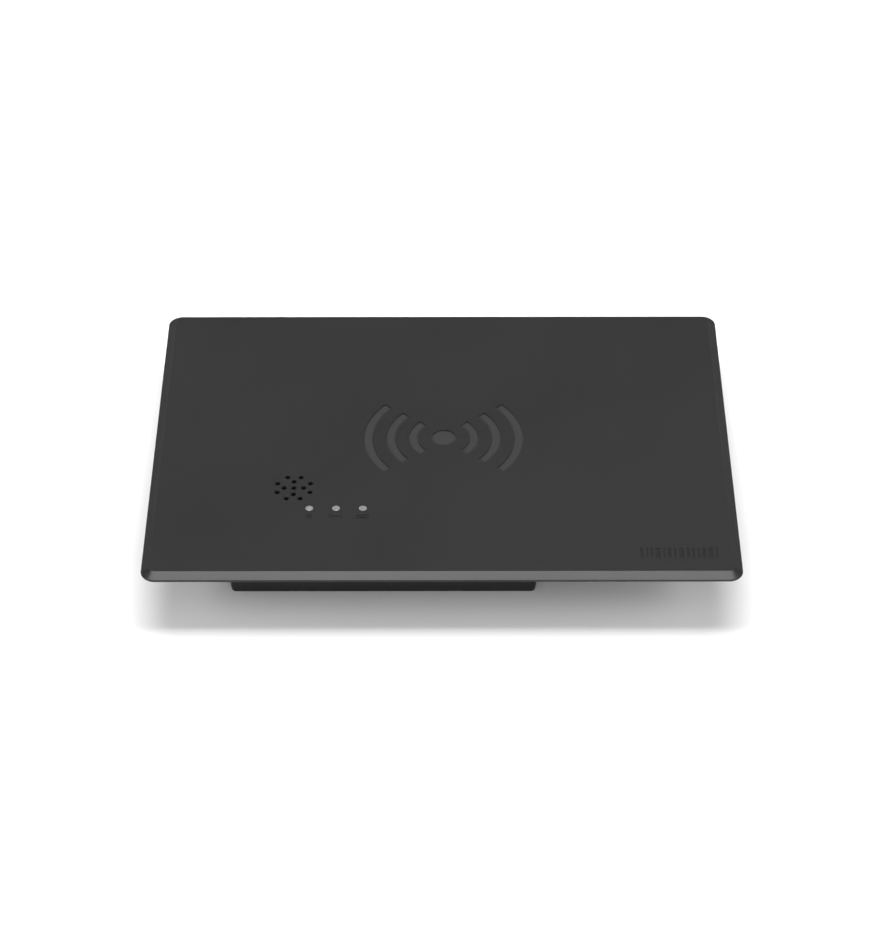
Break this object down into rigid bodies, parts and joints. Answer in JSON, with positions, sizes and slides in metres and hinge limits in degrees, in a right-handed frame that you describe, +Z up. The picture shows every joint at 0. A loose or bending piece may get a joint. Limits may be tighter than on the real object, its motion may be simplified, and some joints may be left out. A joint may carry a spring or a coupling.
{
  "type": "label deactivation pad",
  "caption": "Flat checkout deactivation pad for anti-theft labels: textured antenna cover with wave symbol, indicators and beeper grille, on an offset electronics base with rubber feet.",
  "frame": {"origin": "middle of the pad's plan, on the surface that the rubber feet stand on", "axes": "+X to the user's right along the long side, +Y away from the user, +Z up"},
  "size_m": [0.33, 0.24, 0.0255],
  "materials": {
    "cover_abs": "fine textured black ABS",
    "tray_abs": "moulded black ABS",
    "base_abs": "moulded black ABS",
    "foot_rubber": "moulded rubber",
    "black_screw": "black oxide",
    "zinc_screw": "zinc plated",
    "label_film": "printed polyester film, blank",
    "lens_acrylic": "frosted translucent acrylic",
    "green_board": "solder resist",
    "antenna_laminate": "bare laminate",
    "led_package": "moulded",
    "speaker_plastic": "moulded",
    "magnet_plated": "nickel plated",
    "cone_film": "formed film",
    "foam": "closed-cell foam",
    "grille_fabric": "fine weave",
    "strap_steel": "zinc plated strip",
    "copper": "bright copper",
    "ceramic_chip": "fired ceramic",
    "connector_nylon": "natural nylon",
    "wire_grey": "PVC insulation",
    "wire_red": "PVC insulation",
    "wire_black": "PVC insulation",
    "ribbon_grey": "PVC ribbon",
    "shield_aluminium": "rolled sheet",
    "sink_aluminium": "black anodised extrusion",
    "chip_epoxy": "epoxy moulding",
    "crystal_can": "tin-plated can",
    "ferrite": "pressed ferrite",
    "capacitor_sleeve": "shrink sleeve",
    "fuse_glass": "clear glass",
    "brass_clip": "tin-washed brass",
    "jack_plastic": "moulded",
    "jack_pin": "nickel plated",
    "pot_metal": "die-cast zinc",
    "rocker_plastic": "polished",
    "knob_plastic": "moulded"
  },
  "bodies": {
    "pad": {"antenna_board": "antenna_laminate", "antenna_header": "connector_nylon", "antenna_lead": "wire_grey", "antenna_screws": "zinc_screw", "base_housing": "base_abs", "base_screws": "black_screw", "board_headers": "connector_nylon", "control_board": "green_board", "control_screws": "zinc_screw", "crystal": "crystal_can", "foot_base_front_left": "foot_rubber", "foot_base_front_right": "foot_rubber", "foot_base_rear_left": "foot_rubber", "foot_base_rear_right": "foot_rubber", "foot_post_front": "foot_rubber", "foot_post_rear": "foot_rubber", "fuse": "fuse_glass", "fuse_clips": "brass_clip", "grille_cloth": "grille_fabric", "heat_sink": "sink_aluminium", "indicator_board": "green_board", "indicator_leds": "led_package", "indicator_ribbon": "ribbon_grey", "indicator_screws": "zinc_screw", "inductor_core": "ferrite", "inductor_winding": "copper", "inlet_body": "jack_plastic", "inlet_nut": "jack_pin", "inlet_pin": "jack_pin", "lens_deactivate": "lens_acrylic", "lens_detect": "lens_acrylic", "lens_power": "lens_acrylic", "lower_tray": "tray_abs", "microcontroller": "chip_epoxy", "power_transistors": "chip_epoxy", "rating_label": "label_film", "rear_leads": "wire_black", "receive_coil": "copper", "shield_plate": "shield_aluminium", "shield_screws": "zinc_screw", "speaker_cone": "cone_film", "speaker_frame": "speaker_plastic", "speaker_gasket": "foam", "speaker_lead": "wire_red", "speaker_magnet": "magnet_plated", "speaker_strap": "strap_steel", "storage_capacitors": "capacitor_sleeve", "strap_screws": "zinc_screw", "switch_frame": "jack_plastic", "switch_terminals": "brass_clip", "top_cover": "cover_abs", "transistor_screws": "zinc_screw", "transmit_coil": "copper", "tray_screws": "black_screw", "tuning_capacitors": "ceramic_chip", "volume_pot_body": "pot_metal", "volume_pot_nut": "jack_pin"},
    "power_rocker": {"switch_rocker": "rocker_plastic"},
    "volume_dial": {"volume_knob": "knob_plastic", "volume_shaft": "jack_pin"}
  },
  "joints": [
    {"name": "power_switch", "type": "hinge", "parent": "pad", "child": "power_rocker", "pos_m": [-0.0474, 0.0763, 0.00875], "axis": [0, 0, 1], "range_deg": [0, 20]},
    {"name": "volume_turn", "type": "hinge", "parent": "pad", "child": "volume_dial", "pos_m": [-0.0124, 0.08, 0.00875], "axis": [0, 1, 0], "range_deg": [-135, 135]}
  ]
}
